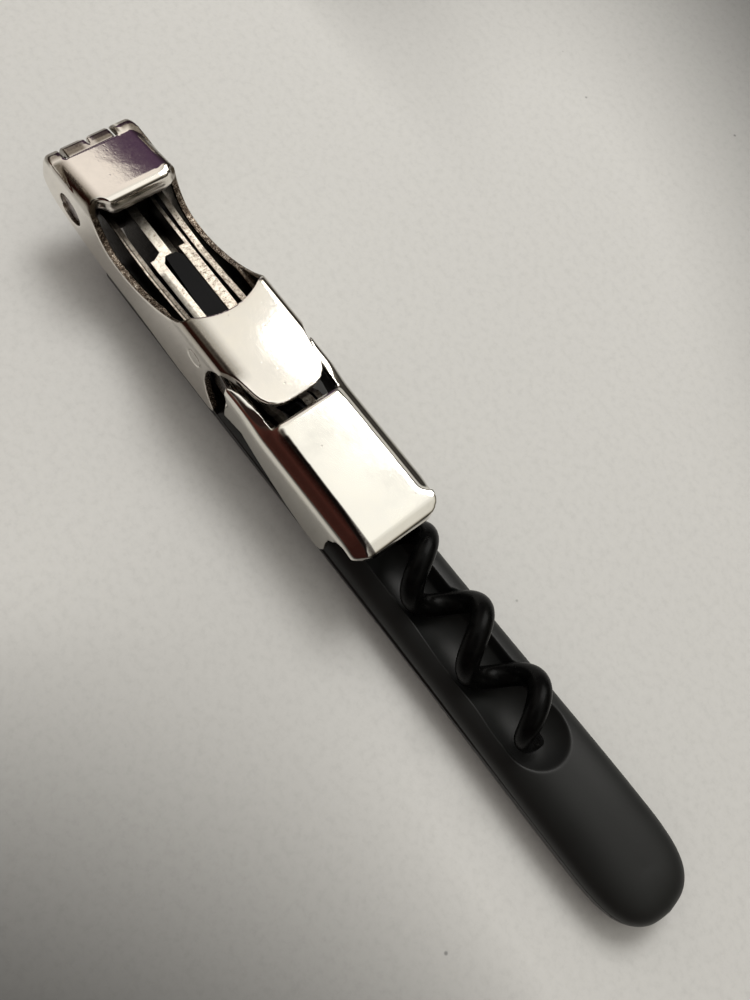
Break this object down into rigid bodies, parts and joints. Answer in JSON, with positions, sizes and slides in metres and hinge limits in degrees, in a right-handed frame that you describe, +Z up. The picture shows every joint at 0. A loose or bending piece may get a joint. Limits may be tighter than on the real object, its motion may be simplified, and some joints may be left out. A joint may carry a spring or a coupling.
{
  "type": "lever corkscrew",
  "caption": "Folding two-step lever corkscrew with a coiled worm, hinged boot lever, crown cap opener and foil blade in a slim moulded handle.",
  "frame": {"origin": "middle of the footprint on the surface the tool lies on", "axes": "+X from the lever hinge end to the butt of the handle, +Y across the tool, +Z up through the levers"},
  "size_m": [0.116, 0.013, 0.017],
  "materials": {
    "short_lever": "bright nickel plate over a blanked and bent sheet, fine pitting",
    "boot_lever": "bright nickel plate over a pressed sheet",
    "boot_pivot_pin": "ground flush and plated with the lever",
    "lever_pivot_pin": "turned steel",
    "lever_washers": "low friction polymer",
    "frame_cheek_left": "blanked plate with rough sheared edges, plated",
    "frame_cheek_right": "blanked plate with rough sheared edges, plated",
    "frame_plate_left": "blanked plate, plated, stained",
    "frame_plate_right": "blanked plate, plated, stained",
    "frame_spacer": "moulded, matte",
    "frame_rivets": "plain",
    "handle_upper_shell": "soft-touch moulding",
    "handle_lower_shell": "moulded, matte",
    "shell_screws": "blackened",
    "worm": "non-stick coating, tip ground bare",
    "worm_pivot_pin": "plain",
    "worm_washers": "low friction polymer",
    "knife_blade": "satin, with ground bevels",
    "knife_pivot_pin": "plain",
    "knife_washers": "low friction polymer",
    "knife_spring": "spring strip"
  },
  "bodies": {
    "handle": {"handle_upper_shell": "handle_upper_shell", "handle_lower_shell": "handle_lower_shell", "frame_cheek_left": "frame_cheek_left", "frame_cheek_right": "frame_cheek_right", "frame_plate_left": "frame_plate_left", "frame_plate_right": "frame_plate_right", "frame_spacer": "frame_spacer", "frame_rivets": "frame_rivets", "shell_screws": "shell_screws", "lever_pivot_pin": "lever_pivot_pin", "lever_washers": "lever_washers", "worm_pivot_pin": "worm_pivot_pin", "worm_washers": "worm_washers", "knife_pivot_pin": "knife_pivot_pin", "knife_washers": "knife_washers", "knife_spring": "knife_spring"},
    "short_lever": {"short_lever": "short_lever", "boot_pivot_pin": "boot_pivot_pin"},
    "boot_lever": {"boot_lever": "boot_lever"},
    "worm": {"worm": "worm"},
    "knife": {"knife_blade": "knife_blade"}
  },
  "joints": [
    {"name": "lever_hinge", "type": "hinge", "parent": "handle", "child": "short_lever", "pos_m": [-0.052, 0, 0.01], "axis": [0, -1, 0], "range_deg": [0, 160]},
    {"name": "boot_hinge", "type": "hinge", "parent": "short_lever", "child": "boot_lever", "pos_m": [-0.0257, 0, 0.0125], "axis": [0, -1, 0], "range_deg": [0, 42]},
    {"name": "worm_hinge", "type": "hinge", "parent": "handle", "child": "worm", "pos_m": [-0.0132, 0, 0.0097], "axis": [0, -1, 0], "range_deg": [0, 80]},
    {"name": "knife_hinge", "type": "hinge", "parent": "handle", "child": "knife", "pos_m": [0.05, 0, 0.0027], "axis": [0, -1, 0], "range_deg": [0, 175]}
  ],
  "couplings": [
    {"joint": "worm_hinge", "follows": "lever_hinge", "ratio": 0.5}
  ]
}
